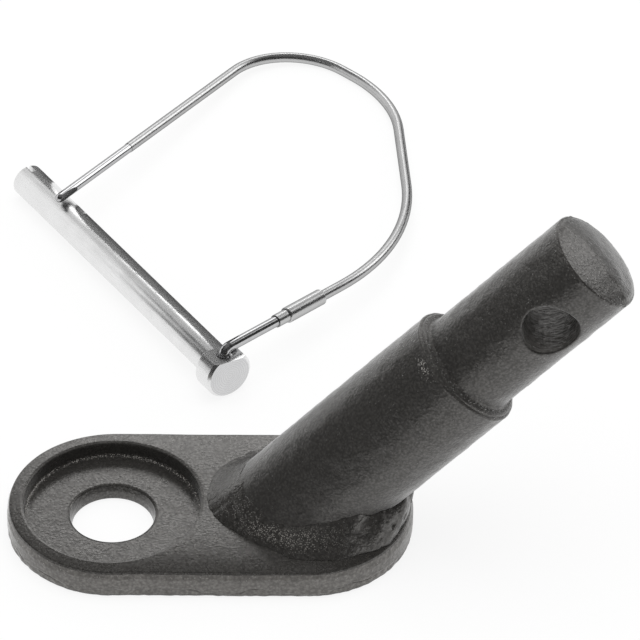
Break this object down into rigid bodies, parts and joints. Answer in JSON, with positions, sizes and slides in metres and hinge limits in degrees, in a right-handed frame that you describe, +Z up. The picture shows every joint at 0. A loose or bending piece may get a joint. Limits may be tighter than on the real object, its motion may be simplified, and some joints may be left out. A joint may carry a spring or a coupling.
{
  "type": "bike trailer hitch",
  "caption": "Steel axle plate with a recessed bore and a welded, leaning round stub, cross-bored for a lock pin with a wire bail, which couples a trailer arm to a bicycle's rear axle.",
  "frame": {"origin": "on the axle bore's axis, in the plane of the plate's underside", "axes": "+Z up through the plate along the axle bore, +X along the plate from the axle bore towards the stub, +Y towards the lock pin"},
  "size_m": [0.0889, 0.1246, 0.0537],
  "materials": {
    "black_coat": "satin powder coat with a fine grain",
    "zinc_steel": "bright zinc plate, satin",
    "polished_steel": "polished"
  },
  "bodies": {
    "hitch": {"axle_plate": "black_coat", "hitch_stub": "black_coat", "weld_bead": "black_coat", "lock_pin": "zinc_steel"},
    "bail": {"bail_bow": "zinc_steel", "bail_leg": "polished_steel", "bail_link": "polished_steel", "bail_ferrule": "zinc_steel"}
  },
  "joints": [
    {"name": "bail_swing", "type": "hinge", "parent": "hitch", "child": "bail", "pos_m": [0.0152, 0.0301, 0.00385], "axis": [-0.068, -0.0707, -0.9952], "range_deg": [0, 75]}
  ]
}
